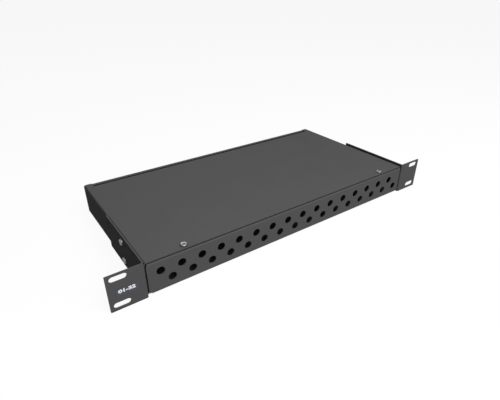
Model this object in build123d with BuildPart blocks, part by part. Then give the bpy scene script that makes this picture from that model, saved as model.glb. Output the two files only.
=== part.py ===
"""Fibre optic patch panel, 19 inch, one rack unit, with 32 empty round ports.

Millimetres, +Z up, front towards -Y. The origin is the centre of the four rack slots,
in the plane of the ears' rear faces, where they meet the rack's rails.
"""

import math
import os

from build123d import *

os.makedirs("parts", exist_ok=True)

# Rack fit
rack_width = 482.6
rack_slot_inset = 12.5
rack_slot_rise = 31.75
rack_slot_length = 17.8
rack_slot_width = 6.6
ear_height = 43.8
ear_below_slots = 22.2

# Case
case_width = 403.4
case_height = 40.3
case_depth = 209.0
case_lift = 1.0
panel_setback = 1.1
sheet = 1.2
bend_inside = 1.0
corner_relief = 0.5

# Running gaps between the lid and what stays in the rack
lid_gap = 0.3
side_gap = 0.4

# Ports
port_count = 16
port_pitch = 24.12
port_diameter = 9.6
port_row_gap = 12.5
port_upper_above_case = 25.2
port_offset = 1.23
port_stagger = port_pitch / 2

# Lid
lid_bend_inside = 1.3
lid_skirt_short = 1.0
front_flange = 14.5
front_flange_end_gap = 1.0
rear_flange = 5.7
rear_flange_end_gap = 10.7
notch_gap = 4.6
notch_end_gap = 0.5
lid_screw_span = 313.7
lid_screw_offset = 1.85
lid_screw_behind_front = 6.75

# Brackets
bracket_sheet = 1.5
bracket_bend_inside = 0.5
bracket_gap = 0.3
bracket_leg = 111.6
bracket_hole_rise = 25.0
bracket_hole_depth = 61.1
bracket_hole_inset = 4.5
bracket_hole_diameter = 4.5
ear_corner = 0.8

# Ear label
label_width = 23.6
label_height = 8.6
label_thickness = 0.2
label_inset = 7.2
label_below_middle = 1.4
label_corner = 0.8

# Screws, clinch nuts and bracket bushes, M4
screw_diameter = 4.0
screw_head_diameter = 7.4
screw_head_height = 2.4
screw_head_bevel = 1.2
screw_tip = 0.4
screw_recess_span = 3.8
screw_recess_width = 0.8
screw_recess_depth = 1.4
thread_gap = 0.06
hole_gap = 0.3
lid_screw_length = 8.0
bracket_screw_length = 10.0
nut_diameter = 8.0
nut_height = 3.0
bush_spigot_radius = 2.8

# Splice trays, moulded
tray_length = 168.0
tray_width = 104.0
tray_height = 10.0
tray_wall = 1.5
tray_floor = 1.5
tray_corner = 34.0
tray_behind_front = 130.0
tray_lift = 3.0
island_span = 96.0
island_radius = 20.0
island_height = 7.0
boss_radius = 4.5
boss_height = 4.0
lug_width = 9.0
lug_reach = 4.0
lug_thickness = 1.0
entry_width = 13.0
entry_span = 84.0
tie_slot_length = 6.0
tie_slot_width = 2.0
tie_slot_gap = 7.8
tie_slot_inset = 6.0
comb_peg_radius = 1.5
comb_peg_span = 20.0

# Splice combs
splice_count = 16
splice_pitch = 4.2
comb_length = 52.0
comb_base = 1.2
comb_finger_width = 1.2
comb_finger_length = 8.0
comb_finger_height = 5.6
comb_end_margin = 3.0
comb_corner = 2.4

# Splice cover
cover_thickness = 1.2
cover_clip_width = 10.0
cover_clip_depth = 4.0
cover_clip_thickness = 1.0
cover_rib_height = 0.6
cover_rib_width = 4.5
cover_rib_inset = 9.0
cover_notch_radius = 7.0

# Tray fixing, M4
stud_head_radius = 3.2
stud_head_height = 0.7
stud_free = 1.0
spacer_radius = 3.6
washer_radius = 4.2
washer_thickness = 0.8
hex_nut_flats = 7.0
hex_nut_height = 3.2

# Rear cable entries
entry_gap = 0.2
gland_span = 330.0
plug_span = 220.0
entry_above_floor = 14.3

# Cable glands
gland_hex_flats = 24.0
gland_hex_height = 4.5
gland_gasket = 1.0
gland_gasket_radius = 12.4
gland_thread_diameter = 20.4
gland_thread_inside = 9.0
gland_locknut_flats = 25.0
gland_locknut_height = 4.0
gland_bore_diameter = 14.0
gland_collar_wall = 1.3
gland_collar_length = 7.5
gland_seal_outside = 16.4
gland_seal_bore = 11.0
gland_seal_length = 11.5
gland_seal_sink = 0.5
gland_cap_height = 14.5
gland_cap_hex_height = 9.0
gland_cap_mouth = 12.6
gland_cap_wall = 1.2
gland_cap_roof = 2.4
gland_cap_dome_radius = 9.0
gland_fit_gap = 0.08

# Blanking plugs
plug_rim_diameter = 25.0
plug_rim_height = 2.0
plug_rim_bevel = 0.6
plug_body_length = 7.0
plug_wall = 1.5
plug_snap = 0.5
plug_gap = 0.1

# Cable clamps
clamp_behind_front = 172.0
clamp_width = 16.0
clamp_foot = 14.0
clamp_height = 26.0
clamp_sheet = 1.5
clamp_plate_thickness = 2.0
clamp_plate_height = 15.0
clamp_groove_radius = 1.2
clamp_screw_above_rod = 6.0
clamp_screw_length = 8.0

# Tie bridges, lanced from the floor
bridge_behind_front = 100.0
bridge_step = 45.0
bridge_length = 16.0
bridge_width = 5.0
bridge_rise = 2.8
bridge_slope = 3.0
bridge_slit = 0.5

# Fibre guides
guide_side = 125.0
guide_front_spans = [120.0, 280.0]
guide_behind_front = 45.0
guide_foot_radius = 5.5
guide_foot_height = 1.2
guide_ring_radius = 8.0
guide_ring_wall = 1.6
guide_ring_width = 5.0
guide_ring_mouth = 3.0
guide_peg_radius = 2.0

# Earth bolt, M5
earth_diameter = 5.0
earth_from_middle = 60.0
earth_head_flats = 8.0
earth_head_height = 3.5
earth_washer_radius = 5.0
earth_washer_thickness = 1.0
earth_nut_flats = 8.0
earth_nut_height = 4.0
earth_free_end = 6.0
earth_tip = 0.5

# Levels and faces that several pieces share
ear_bottom = -ear_below_slots
case_bottom = ear_bottom + case_lift
case_top = case_bottom + case_height
floor_top = case_bottom + sheet
lid_under = case_top - sheet
flange_top = lid_under - lid_gap
front = panel_setback - bracket_sheet
back = front + case_depth
wall_inside = back - sheet
half_width = case_width / 2
skirt_inside = half_width - sheet
wall_half = skirt_inside - side_gap
bend_outside = bend_inside + sheet
lid_front = front + sheet + lid_gap
skirt_bottom = case_bottom + lid_skirt_short
front_flange_half = skirt_inside - front_flange_end_gap
rear_flange_half = half_width - rear_flange_end_gap
leg_inside = half_width + bracket_gap
leg_outside = leg_inside + bracket_sheet
leg_end = bracket_leg - bracket_sheet
port_upper_z = case_bottom + port_upper_above_case
screw_radius = screw_diameter / 2
clear_hole_radius = screw_radius + hole_gap
nut_bore_radius = screw_radius + thread_gap
lid_screw_y = front + lid_screw_behind_front
lid_screw_xs = [lid_screw_offset + side * lid_screw_span / 2 for side in (-1, 1)]
bracket_hole_ys = [bracket_hole_depth - bracket_sheet, leg_end - bracket_hole_inset]
bracket_hole_zs = [side * bracket_hole_rise / 2 for side in (-1, 1)]
bush_hole_radius = bush_spigot_radius + thread_gap
skirt_slot_radius = bush_spigot_radius + side_gap
entry_z = floor_top + entry_above_floor
entry_hole_radius = gland_thread_diameter / 2 + entry_gap
gland_xs = [side * gland_span / 2 for side in (-1, 1)]
tray_y = front + tray_behind_front
lower_tray_base = floor_top + tray_lift
upper_tray_base = lower_tray_base + tray_height
stack_top = upper_tray_base + tray_height
stud_xs = [side * island_span / 2 for side in (-1, 1)]
bridge_ys = [front + bridge_behind_front + step * bridge_step for step in (0, 1)]
guide_front_y = front + guide_behind_front
guide_front_xs = [side * span / 2 for side in (-1, 1) for span in guide_front_spans]
guide_places = [(x, guide_front_y, 90) for x in guide_front_xs]
guide_places += [(side * guide_side, tray_y, 0) for side in (-1, 1)]


def fold_lines(outside, inside, inside_radius, thickness):
    """Closed outline of a folded sheet, from the corner points of its two sides."""
    FilletPolyline(*outside, radius=inside_radius + thickness)
    FilletPolyline(*inside, radius=inside_radius)
    Line(outside[0], inside[0])
    Line(outside[-1], inside[-1])


def pan_screw(length):
    """Pan head screw with a cross recess: head seat at z = 0, shank down."""
    head_radius = screw_head_diameter / 2
    brim = screw_head_height - screw_head_bevel
    crown = head_radius - screw_head_bevel
    tip = screw_radius - screw_tip
    with BuildPart() as screw:
        with BuildSketch(Plane.XZ):
            with BuildLine():
                Polyline(
                    (crown, screw_head_height),
                    (0, screw_head_height),
                    (0, -length),
                    (tip, -length),
                    (screw_radius, screw_tip - length),
                    (screw_radius, 0),
                    (head_radius, 0),
                    (head_radius, brim),
                    close=True,
                )
            make_face()
        revolve(axis=Axis.Z)
        with BuildSketch(Plane.XY.offset(screw_head_height)):
            Rectangle(screw_recess_span, screw_recess_width)
            Rectangle(screw_recess_width, screw_recess_span)
        extrude(amount=-screw_recess_depth, mode=Mode.SUBTRACT)
    return screw.part


def ring(outer_radius, inner_radius, height):
    """Plain ring standing on z = 0."""
    with BuildPart() as made:
        with BuildSketch():
            Circle(outer_radius)
            Circle(inner_radius, mode=Mode.SUBTRACT)
        extrude(amount=height)
    return made.part


def hex_ring(flats, inner_radius, height):
    """Hexagonal ring standing on z = 0, with two flats facing +Y and -Y."""
    with BuildPart() as made:
        with BuildSketch():
            RegularPolygon(flats / 2, 6, major_radius=False)
            Circle(inner_radius, mode=Mode.SUBTRACT)
        extrude(amount=height)
    return made.part


def rearward(x, y, z):
    """Place on the rear wall: the local Z axis points to the rear, local Y points down."""
    return Location((x, y, z), (-90, 0, 0))


# Chassis: front port wall, floor, side walls and rear wall, folded from one sheet
with BuildPart() as chassis:
    # front flange, front wall, floor, rear wall and rear flange
    with BuildSketch(Plane.YZ):
        with BuildLine():
            fold_lines(
                [
                    (front + front_flange, flange_top),
                    (front, flange_top),
                    (front, case_bottom),
                    (back, case_bottom),
                    (back, case_top),
                    (back - rear_flange, case_top),
                ],
                [
                    (front + front_flange, flange_top - sheet),
                    (front + sheet, flange_top - sheet),
                    (front + sheet, floor_top),
                    (wall_inside, floor_top),
                    (wall_inside, case_top - sheet),
                    (back - rear_flange, case_top - sheet),
                ],
                bend_inside,
                sheet,
            )
        make_face()
    extrude(amount=rear_flange_half, both=True)
    # front flange and front wall out to their full width
    with BuildSketch(Plane.YZ):
        with BuildLine():
            fold_lines(
                [
                    (front + front_flange, flange_top),
                    (front, flange_top),
                    (front, case_bottom + bend_outside),
                ],
                [
                    (front + front_flange, flange_top - sheet),
                    (front + sheet, flange_top - sheet),
                    (front + sheet, case_bottom + bend_outside),
                ],
                bend_inside,
                sheet,
            )
        make_face()
    extrude(amount=front_flange_half, both=True)
    with BuildSketch(Plane.XZ.offset(-front)):
        with Locations((0, (case_bottom + flange_top) / 2)):
            Rectangle(2 * skirt_inside, flange_top - case_bottom - 2 * bend_outside)
    extrude(amount=-sheet)
    # floor with its front and rear bends, short of the corner reliefs
    with BuildSketch(Plane.YZ):
        with BuildLine():
            fold_lines(
                [
                    (front, case_bottom + 2 * bend_outside),
                    (front, case_bottom),
                    (back, case_bottom),
                    (back, case_bottom + 2 * bend_outside),
                ],
                [
                    (front + sheet, case_bottom + 2 * bend_outside),
                    (front + sheet, floor_top),
                    (wall_inside, floor_top),
                    (wall_inside, case_bottom + 2 * bend_outside),
                ],
                bend_inside,
                sheet,
            )
        make_face()
    extrude(amount=wall_half - bend_outside - corner_relief, both=True)
    # rear wall out to the side walls, its top corners cut off under the lid's bends
    with BuildSketch(Plane.XZ.offset(-back)):
        with Locations((0, (case_bottom + bend_outside + flange_top) / 2)):
            Rectangle(2 * wall_half, flange_top - case_bottom - bend_outside)
        chamfer(vertices().group_by(Axis.Y)[-1], lid_bend_inside + lid_gap)
    extrude(amount=sheet)
    # side walls, folded up from the floor
    side_top = lid_under - lid_bend_inside - lid_gap
    with BuildSketch(Plane.XZ.offset(-front - bend_outside - corner_relief)):
        with BuildLine():
            fold_lines(
                [
                    (-wall_half, side_top),
                    (-wall_half, case_bottom),
                    (wall_half, case_bottom),
                    (wall_half, side_top),
                ],
                [
                    (-wall_half + sheet, side_top),
                    (-wall_half + sheet, floor_top),
                    (wall_half - sheet, floor_top),
                    (wall_half - sheet, side_top),
                ],
                bend_inside,
                sheet,
            )
        make_face()
    extrude(amount=-(case_depth - 2 * bend_outside - 2 * corner_relief))
    # two staggered rows of ports
    with BuildSketch(Plane.XZ.offset(-front)):
        for row in (-1, 1):
            row_x = port_offset - row * port_stagger / 2
            row_z = port_upper_z if row == 1 else port_upper_z - port_row_gap
            with Locations((row_x, row_z)):
                with GridLocations(port_pitch, 1, port_count, 1):
                    Circle(port_diameter / 2)
    extrude(amount=-sheet, mode=Mode.SUBTRACT)
    # lid screw holes in the front flange
    with BuildSketch(Plane.XY.offset(flange_top)):
        with Locations(*[(x, lid_screw_y) for x in lid_screw_xs]):
            Circle(clear_hole_radius)
    extrude(amount=-sheet, mode=Mode.SUBTRACT)
    # holes for the bracket bushes, straight through both side walls
    with BuildSketch(Plane.YZ.offset(-wall_half)):
        with Locations(*[(y, z) for y in bracket_hole_ys for z in bracket_hole_zs]):
            Circle(bush_hole_radius)
    extrude(amount=2 * wall_half, mode=Mode.SUBTRACT)
    # cable entries and the earth bolt's hole in the rear wall
    with BuildSketch(Plane.XZ.offset(-back)):
        with Locations((0, entry_z)):
            with GridLocations(gland_span, 1, 2, 1):
                Circle(entry_hole_radius)
            with GridLocations(plug_span, 1, 2, 1):
                Circle(entry_hole_radius)
        with Locations((earth_from_middle, entry_z)):
            Circle(earth_diameter / 2 + hole_gap)
    extrude(amount=sheet, mode=Mode.SUBTRACT)
    # holes for the tray studs, with a recess for each stud's head under the floor
    with BuildSketch(Plane.XY.offset(case_bottom)):
        with Locations(*[(x, tray_y) for x in stud_xs]):
            Circle(screw_radius + thread_gap)
    extrude(amount=sheet, mode=Mode.SUBTRACT)
    with BuildSketch(Plane.XY.offset(case_bottom)):
        with Locations(*[(x, tray_y) for x in stud_xs]):
            Circle(stud_head_radius + thread_gap)
    extrude(amount=stud_head_height, mode=Mode.SUBTRACT)
    # holes for the fibre guides' pegs
    with BuildSketch(Plane.XY.offset(case_bottom)):
        with Locations(*[(x, y) for x, y, turn in guide_places]):
            Circle(guide_peg_radius + thread_gap)
    extrude(amount=sheet, mode=Mode.SUBTRACT)
    # lanced tie bridges: the floor is slit, then the strip is pressed up
    with BuildSketch(Plane.XY.offset(case_bottom)):
        with Locations(*[(x, y) for x in gland_xs for y in bridge_ys]):
            Rectangle(bridge_length, bridge_width + 2 * bridge_slit)
    extrude(amount=sheet, mode=Mode.SUBTRACT)
    foot = bridge_length / 2 + bridge_slit
    crest = foot - bridge_slope
    for bridge_y in bridge_ys:
        for bridge_x in gland_xs:
            with BuildSketch(Plane.XZ.offset(-bridge_y)):
                with Locations((bridge_x, 0)):
                    with BuildLine():
                        Polyline(
                            (-foot, case_bottom),
                            (-crest, case_bottom + bridge_rise),
                            (crest, case_bottom + bridge_rise),
                            (foot, case_bottom),
                            (foot, floor_top),
                            (crest, floor_top + bridge_rise),
                            (-crest, floor_top + bridge_rise),
                            (-foot, floor_top),
                            close=True,
                        )
                    make_face()
            extrude(amount=bridge_width / 2, both=True)

chassis.part.label = "chassis"
export_step(chassis.part, "parts/chassis.step")

# Lid: an inverted U that covers the top and both sides
with BuildPart() as lid:
    with BuildSketch(Plane.XZ.offset(-lid_front)):
        with BuildLine():
            fold_lines(
                [
                    (-half_width, skirt_bottom),
                    (-half_width, case_top),
                    (half_width, case_top),
                    (half_width, skirt_bottom),
                ],
                [
                    (-skirt_inside, skirt_bottom),
                    (-skirt_inside, lid_under),
                    (skirt_inside, lid_under),
                    (skirt_inside, skirt_bottom),
                ],
                lid_bend_inside,
                sheet,
            )
        make_face()
    extrude(amount=-(back - lid_front))
    # notch that takes the rear wall's flange, flush with the lid
    notch_front = back - rear_flange - notch_gap
    with BuildSketch(Plane.XY.offset(case_top)):
        with Locations((0, (notch_front + back) / 2)):
            Rectangle(2 * (rear_flange_half + notch_end_gap), back - notch_front)
    extrude(amount=-sheet, mode=Mode.SUBTRACT)
    # front screw holes
    with BuildSketch(Plane.XY.offset(case_top)):
        with Locations(*[(x, lid_screw_y) for x in lid_screw_xs]):
            Circle(clear_hole_radius)
    extrude(amount=-sheet, mode=Mode.SUBTRACT)
    # slots in both sides, open downwards, that pass the bracket bushes
    slot_top = bracket_hole_zs[-1]
    with BuildSketch(Plane.YZ.offset(-half_width)):
        for hole_y in bracket_hole_ys:
            with Locations((hole_y, (skirt_bottom + slot_top) / 2)):
                Rectangle(2 * skirt_slot_radius, slot_top - skirt_bottom)
            with Locations((hole_y, slot_top)):
                Circle(skirt_slot_radius)
    extrude(amount=case_width, mode=Mode.SUBTRACT)

lid.part.label = "lid"
export_step(lid.part, "parts/lid.step")

# Rack bracket: an ear with two slots, and a leg along the case's side
with BuildPart() as left_bracket:
    ear_front = -bracket_sheet
    ear_outside = -rack_width / 2
    with BuildSketch(Plane.XY.offset(ear_bottom)):
        with BuildLine():
            fold_lines(
                [(ear_outside, ear_front), (-leg_inside, ear_front), (-leg_inside, leg_end)],
                [(ear_outside, 0), (-leg_outside, 0), (-leg_outside, leg_end)],
                bracket_bend_inside,
                bracket_sheet,
            )
        make_face()
    extrude(amount=ear_height)
    fillet(left_bracket.edges().filter_by(Axis.Y).group_by(Axis.X)[0], ear_corner)
    fillet(left_bracket.edges().filter_by(Axis.X).group_by(Axis.Y)[-1], ear_corner)
    with BuildSketch(Plane.XZ.offset(bracket_sheet)):
        with Locations((ear_outside + rack_slot_inset, 0)):
            with GridLocations(1, rack_slot_rise, 1, 2):
                SlotOverall(rack_slot_length, rack_slot_width)
    extrude(amount=-bracket_sheet, mode=Mode.SUBTRACT)
    with BuildSketch(Plane.YZ.offset(-leg_outside)):
        with Locations(*[(y, z) for y in bracket_hole_ys for z in bracket_hole_zs]):
            Circle(bracket_hole_diameter / 2)
    extrude(amount=bracket_sheet, mode=Mode.SUBTRACT)

left_bracket.part.label = "left_bracket"
export_step(left_bracket.part, "parts/left_bracket.step")

with BuildPart() as right_bracket:
    mirror(left_bracket.part, about=Plane.YZ)

right_bracket.part.label = "right_bracket"
export_step(right_bracket.part, "parts/right_bracket.step")

# Screws that hold the lid, and the clinch nuts under the front flange
with BuildPart() as lid_screws:
    with Locations(*[(x, lid_screw_y, case_top) for x in lid_screw_xs]):
        add(pan_screw(lid_screw_length))

lid_screws.part.label = "lid_screws"
export_step(lid_screws.part, "parts/lid_screws.step")

with BuildPart() as lid_nuts:
    with Locations(*[(x, lid_screw_y, flange_top - sheet - nut_height) for x in lid_screw_xs]):
        add(ring(nut_diameter / 2, nut_bore_radius, nut_height))

lid_nuts.part.label = "lid_nuts"
export_step(lid_nuts.part, "parts/lid_nuts.step")

# Label on the left ear
with BuildPart() as ear_label:
    with BuildSketch(Plane.XZ.offset(bracket_sheet)):
        with Locations((ear_outside + label_inset + label_width / 2, -label_below_middle)):
            RectangleRounded(label_width, label_height, label_corner)
    extrude(amount=label_thickness)

ear_label.part.label = "ear_label"
export_step(ear_label.part, "parts/ear_label.step")

# Screws of the brackets, in the front pair of holes
with BuildPart() as bracket_screws:
    with Locations(
        *[
            Location((side * leg_outside, bracket_hole_ys[0], z), (0, side * 90, 0))
            for side in (-1, 1)
            for z in bracket_hole_zs
        ]
    ):
        add(pan_screw(bracket_screw_length))

bracket_screws.part.label = "bracket_screws"
export_step(bracket_screws.part, "parts/bracket_screws.step")


def bracket_bush():
    """Threaded bush: body above z = 0, and a spigot below it that the bracket's leg rests on."""
    with BuildPart() as bush:
        with BuildSketch():
            Circle(nut_diameter / 2)
        extrude(amount=nut_height)
        with BuildSketch():
            Circle(bush_spigot_radius)
        extrude(amount=-(leg_inside - wall_half + sheet))
        with BuildSketch(Plane.XY.offset(nut_height)):
            Circle(nut_bore_radius)
        extrude(amount=-(nut_height + leg_inside - wall_half + sheet), mode=Mode.SUBTRACT)
    return bush.part


# Bushes in the side walls: two positions for each bracket
with BuildPart() as bracket_bushes:
    with Locations(
        *[
            Location((side * (wall_half - sheet), y, z), (0, -side * 90, 0))
            for side in (-1, 1)
            for y in bracket_hole_ys
            for z in bracket_hole_zs
        ]
    ):
        add(bracket_bush())

bracket_bushes.part.label = "bracket_bushes"
export_step(bracket_bushes.part, "parts/bracket_bushes.step")


def splice_tray(base):
    """Moulded tray: rim, two islands for the fibre loops, bosses, retaining lugs and cable entries."""
    corner_x = tray_length / 2 - tray_corner
    corner_y = tray_width / 2 - tray_corner
    lug_centre = tray_corner - tray_wall / 2 - lug_reach / 2
    with BuildPart() as tray:
        with BuildSketch(Plane.XY.offset(base)):
            with Locations((0, tray_y)):
                RectangleRounded(tray_length, tray_width, tray_corner)
        extrude(amount=tray_height)
        with BuildSketch(Plane.XY.offset(base + tray_floor)):
            with Locations((0, tray_y)):
                RectangleRounded(
                    tray_length - 2 * tray_wall,
                    tray_width - 2 * tray_wall,
                    tray_corner - tray_wall,
                )
        extrude(amount=tray_height, mode=Mode.SUBTRACT)
        # openings in the rim where fibres come in
        with BuildSketch(Plane.XY.offset(base + tray_floor)):
            with Locations((0, tray_y)):
                with GridLocations(entry_span, tray_width - tray_wall, 2, 2):
                    Rectangle(entry_width, 2 * tray_wall)
        extrude(amount=tray_height, mode=Mode.SUBTRACT)
        # islands and their bosses
        with BuildSketch(Plane.XY.offset(base + tray_floor)):
            with Locations((0, tray_y)):
                with GridLocations(island_span, 1, 2, 1):
                    Circle(island_radius)
                    Circle(island_radius - tray_wall, mode=Mode.SUBTRACT)
        extrude(amount=island_height - tray_floor)
        with BuildSketch(Plane.XY.offset(base + tray_floor)):
            with Locations((0, tray_y)):
                with GridLocations(island_span, 1, 2, 1):
                    Circle(boss_radius)
        extrude(amount=boss_height - tray_floor)
        with BuildSketch(Plane.XY.offset(base)):
            with Locations((0, tray_y)):
                with GridLocations(island_span, 1, 2, 1):
                    Circle(clear_hole_radius)
        extrude(amount=boss_height, mode=Mode.SUBTRACT)
        # lugs over the fibre channel: at the corners, the ends and the long sides
        with BuildSketch(Plane.XY.offset(base + tray_height)):
            for side_x in (-1, 1):
                for side_y in (-1, 1):
                    turn = math.degrees(math.atan2(side_y, side_x))
                    with Locations((side_x * corner_x, tray_y + side_y * corner_y)):
                        with PolarLocations(lug_centre, 1, start_angle=turn):
                            Rectangle(lug_reach + tray_wall / 2, lug_width)
            with Locations((0, tray_y)):
                with GridLocations(tray_length - tray_wall - lug_reach, 1, 2, 1):
                    Rectangle(lug_reach + tray_wall / 2, lug_width)
                with GridLocations(1, tray_width - tray_wall - lug_reach, 1, 2):
                    Rectangle(lug_width, lug_reach + tray_wall / 2)
        extrude(amount=-lug_thickness)
        # slots for ties beside each opening, and pegs for the comb
        with BuildSketch(Plane.XY.offset(base)):
            with Locations((0, tray_y)):
                with GridLocations(entry_span, tray_width - 2 * tie_slot_inset, 2, 2):
                    with GridLocations(tie_slot_gap, 1, 2, 1):
                        SlotOverall(tie_slot_length, tie_slot_width, rotation=90)
        extrude(amount=tray_floor, mode=Mode.SUBTRACT)
        with BuildSketch(Plane.XY.offset(base + tray_floor)):
            with Locations((0, tray_y)):
                with GridLocations(comb_peg_span, 1, 2, 1):
                    Circle(comb_peg_radius)
        extrude(amount=comb_base - thread_gap)
    return tray


def splice_comb(base):
    """Comb that grips the splice sleeves side by side, on the floor of the tray at base."""
    seat = base + tray_floor
    comb_width = (splice_count + 1) * splice_pitch
    row_span = comb_length - comb_finger_length - 2 * comb_end_margin
    with BuildPart() as comb:
        with BuildSketch(Plane.XY.offset(seat)):
            with Locations((0, tray_y)):
                RectangleRounded(comb_length, comb_width, comb_corner)
                with GridLocations(comb_peg_span, 1, 2, 1):
                    Circle(comb_peg_radius + thread_gap, mode=Mode.SUBTRACT)
        extrude(amount=comb_base)
        with BuildSketch(Plane.XY.offset(seat + comb_base)):
            with Locations((0, tray_y)):
                with GridLocations(row_span, splice_pitch, 2, splice_count + 1):
                    Rectangle(comb_finger_length, comb_finger_width)
        extrude(amount=comb_finger_height)
    return comb


lower_splice_tray = splice_tray(lower_tray_base)
lower_splice_tray.part.label = "lower_splice_tray"
export_step(lower_splice_tray.part, "parts/lower_splice_tray.step")
upper_splice_tray = splice_tray(upper_tray_base)
upper_splice_tray.part.label = "upper_splice_tray"
export_step(upper_splice_tray.part, "parts/upper_splice_tray.step")
lower_splice_comb = splice_comb(lower_tray_base)
lower_splice_comb.part.label = "lower_splice_comb"
export_step(lower_splice_comb.part, "parts/lower_splice_comb.step")
upper_splice_comb = splice_comb(upper_tray_base)
upper_splice_comb.part.label = "upper_splice_comb"
export_step(upper_splice_comb.part, "parts/upper_splice_comb.step")

# Cover over the upper tray, with clips down the outside of its rim
with BuildPart() as splice_cover:
    cover_base = stack_top + lid_gap
    with BuildSketch(Plane.XY.offset(cover_base)):
        with Locations((0, tray_y)):
            RectangleRounded(tray_length, tray_width, tray_corner)
    extrude(amount=cover_thickness)
    # raised rib that stiffens the cover
    rib_inside = cover_rib_inset + cover_rib_width
    with BuildSketch(Plane.XY.offset(cover_base + cover_thickness)):
        with Locations((0, tray_y)):
            RectangleRounded(
                tray_length - 2 * cover_rib_inset,
                tray_width - 2 * cover_rib_inset,
                tray_corner - cover_rib_inset,
            )
            RectangleRounded(
                tray_length - 2 * rib_inside,
                tray_width - 2 * rib_inside,
                tray_corner - rib_inside,
                mode=Mode.SUBTRACT,
            )
    extrude(amount=cover_rib_height)
    # finger notches in the two ends
    with BuildSketch(Plane.XY.offset(cover_base)):
        with Locations((0, tray_y)):
            with GridLocations(tray_length + cover_notch_radius, 1, 2, 1):
                Circle(cover_notch_radius)
    extrude(amount=cover_thickness, mode=Mode.SUBTRACT)
    # clips down the outside of the long rims, beside the entries
    clip_offset = tray_width + 2 * lid_gap + cover_clip_thickness
    with BuildSketch(Plane.XY.offset(cover_base + cover_thickness)):
        with Locations((0, tray_y)):
            with GridLocations(entry_span / 2, clip_offset, 2, 2):
                Rectangle(cover_clip_width, cover_clip_thickness)
    extrude(amount=-(cover_thickness + cover_clip_depth))
    with BuildSketch(Plane.XY.offset(cover_base + cover_thickness)):
        with Locations((0, tray_y)):
            with GridLocations(entry_span / 2, clip_offset - cover_clip_thickness, 2, 2):
                Rectangle(cover_clip_width, 2 * cover_clip_thickness)
    extrude(amount=-cover_thickness)

splice_cover.part.label = "splice_cover"
export_step(splice_cover.part, "parts/splice_cover.step")

# Studs clinched into the floor carry both trays on spacers, under a washer and a nut
boss_top = upper_tray_base + boss_height

with BuildPart() as tray_studs:
    with BuildSketch(Plane.XY.offset(case_bottom)):
        with Locations(*[(x, tray_y) for x in stud_xs]):
            Circle(stud_head_radius)
    extrude(amount=stud_head_height - thread_gap)
    with BuildSketch(Plane.XY.offset(case_bottom)):
        with Locations(*[(x, tray_y) for x in stud_xs]):
            Circle(screw_radius)
    extrude(amount=boss_top + washer_thickness + hex_nut_height + stud_free - case_bottom)

tray_studs.part.label = "tray_studs"
export_step(tray_studs.part, "parts/tray_studs.step")

with BuildPart() as tray_spacers:
    with Locations(*[(x, tray_y, floor_top) for x in stud_xs]):
        add(ring(spacer_radius, clear_hole_radius, tray_lift))
    with Locations(*[(x, tray_y, lower_tray_base + boss_height) for x in stud_xs]):
        add(ring(spacer_radius, clear_hole_radius, tray_height - boss_height))

tray_spacers.part.label = "tray_spacers"
export_step(tray_spacers.part, "parts/tray_spacers.step")

with BuildPart() as tray_washers:
    with Locations(*[(x, tray_y, boss_top) for x in stud_xs]):
        add(ring(washer_radius, clear_hole_radius, washer_thickness))

tray_washers.part.label = "tray_washers"
export_step(tray_washers.part, "parts/tray_washers.step")

with BuildPart() as tray_nuts:
    with Locations(*[(x, tray_y, boss_top + washer_thickness) for x in stud_xs]):
        add(hex_ring(hex_nut_flats, nut_bore_radius, hex_nut_height))

tray_nuts.part.label = "tray_nuts"
export_step(tray_nuts.part, "parts/tray_nuts.step")

# Cable glands in the two outer entries, built up rearwards from the rear wall
gland_face = back + gland_gasket
gland_collar_base = gland_face + gland_hex_height
gland_collar_radius = gland_seal_outside / 2 + gland_fit_gap + gland_collar_wall

with BuildPart() as gland_gaskets:
    with Locations(*[rearward(x, back, entry_z) for x in gland_xs]):
        add(ring(gland_gasket_radius, gland_thread_diameter / 2 + gland_fit_gap, gland_gasket))

gland_gaskets.part.label = "gland_gaskets"
export_step(gland_gaskets.part, "parts/gland_gaskets.step")


def gland_body():
    """Gland body: hexagon from z = 0, thread behind it, collar and fingers before it."""
    with BuildPart() as body:
        with BuildSketch():
            RegularPolygon(gland_hex_flats / 2, 6, major_radius=False)
        extrude(amount=gland_hex_height)
        with BuildSketch():
            Circle(gland_thread_diameter / 2)
        extrude(amount=-(gland_gasket + sheet + gland_thread_inside))
        with BuildSketch(Plane.XY.offset(gland_hex_height)):
            Circle(gland_collar_radius)
        extrude(amount=gland_collar_length)
        with BuildSketch(Plane.XY.offset(gland_hex_height - gland_seal_sink)):
            Circle(gland_seal_outside / 2 + gland_fit_gap)
        extrude(amount=gland_seal_sink + gland_collar_length, mode=Mode.SUBTRACT)
        with BuildSketch(Plane.XY.offset(gland_hex_height + gland_collar_length)):
            Circle(gland_bore_diameter / 2)
        extrude(
            amount=-(gland_collar_length + gland_hex_height + gland_gasket + sheet)
            - gland_thread_inside,
            mode=Mode.SUBTRACT,
        )
    return body.part


with BuildPart() as gland_bodies:
    with Locations(*[rearward(x, gland_face, entry_z) for x in gland_xs]):
        add(gland_body())

gland_bodies.part.label = "gland_bodies"
export_step(gland_bodies.part, "parts/gland_bodies.step")

with BuildPart() as gland_locknuts:
    with Locations(*[rearward(x, wall_inside - gland_locknut_height, entry_z) for x in gland_xs]):
        add(
            hex_ring(
                gland_locknut_flats,
                gland_thread_diameter / 2 + gland_fit_gap,
                gland_locknut_height,
            )
        )

gland_locknuts.part.label = "gland_locknuts"
export_step(gland_locknuts.part, "parts/gland_locknuts.step")

with BuildPart() as gland_seals:
    with Locations(*[rearward(x, gland_collar_base - gland_seal_sink, entry_z) for x in gland_xs]):
        add(ring(gland_seal_outside / 2, gland_seal_bore / 2, gland_seal_length))

gland_seals.part.label = "gland_seals"
export_step(gland_seals.part, "parts/gland_seals.step")


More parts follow.
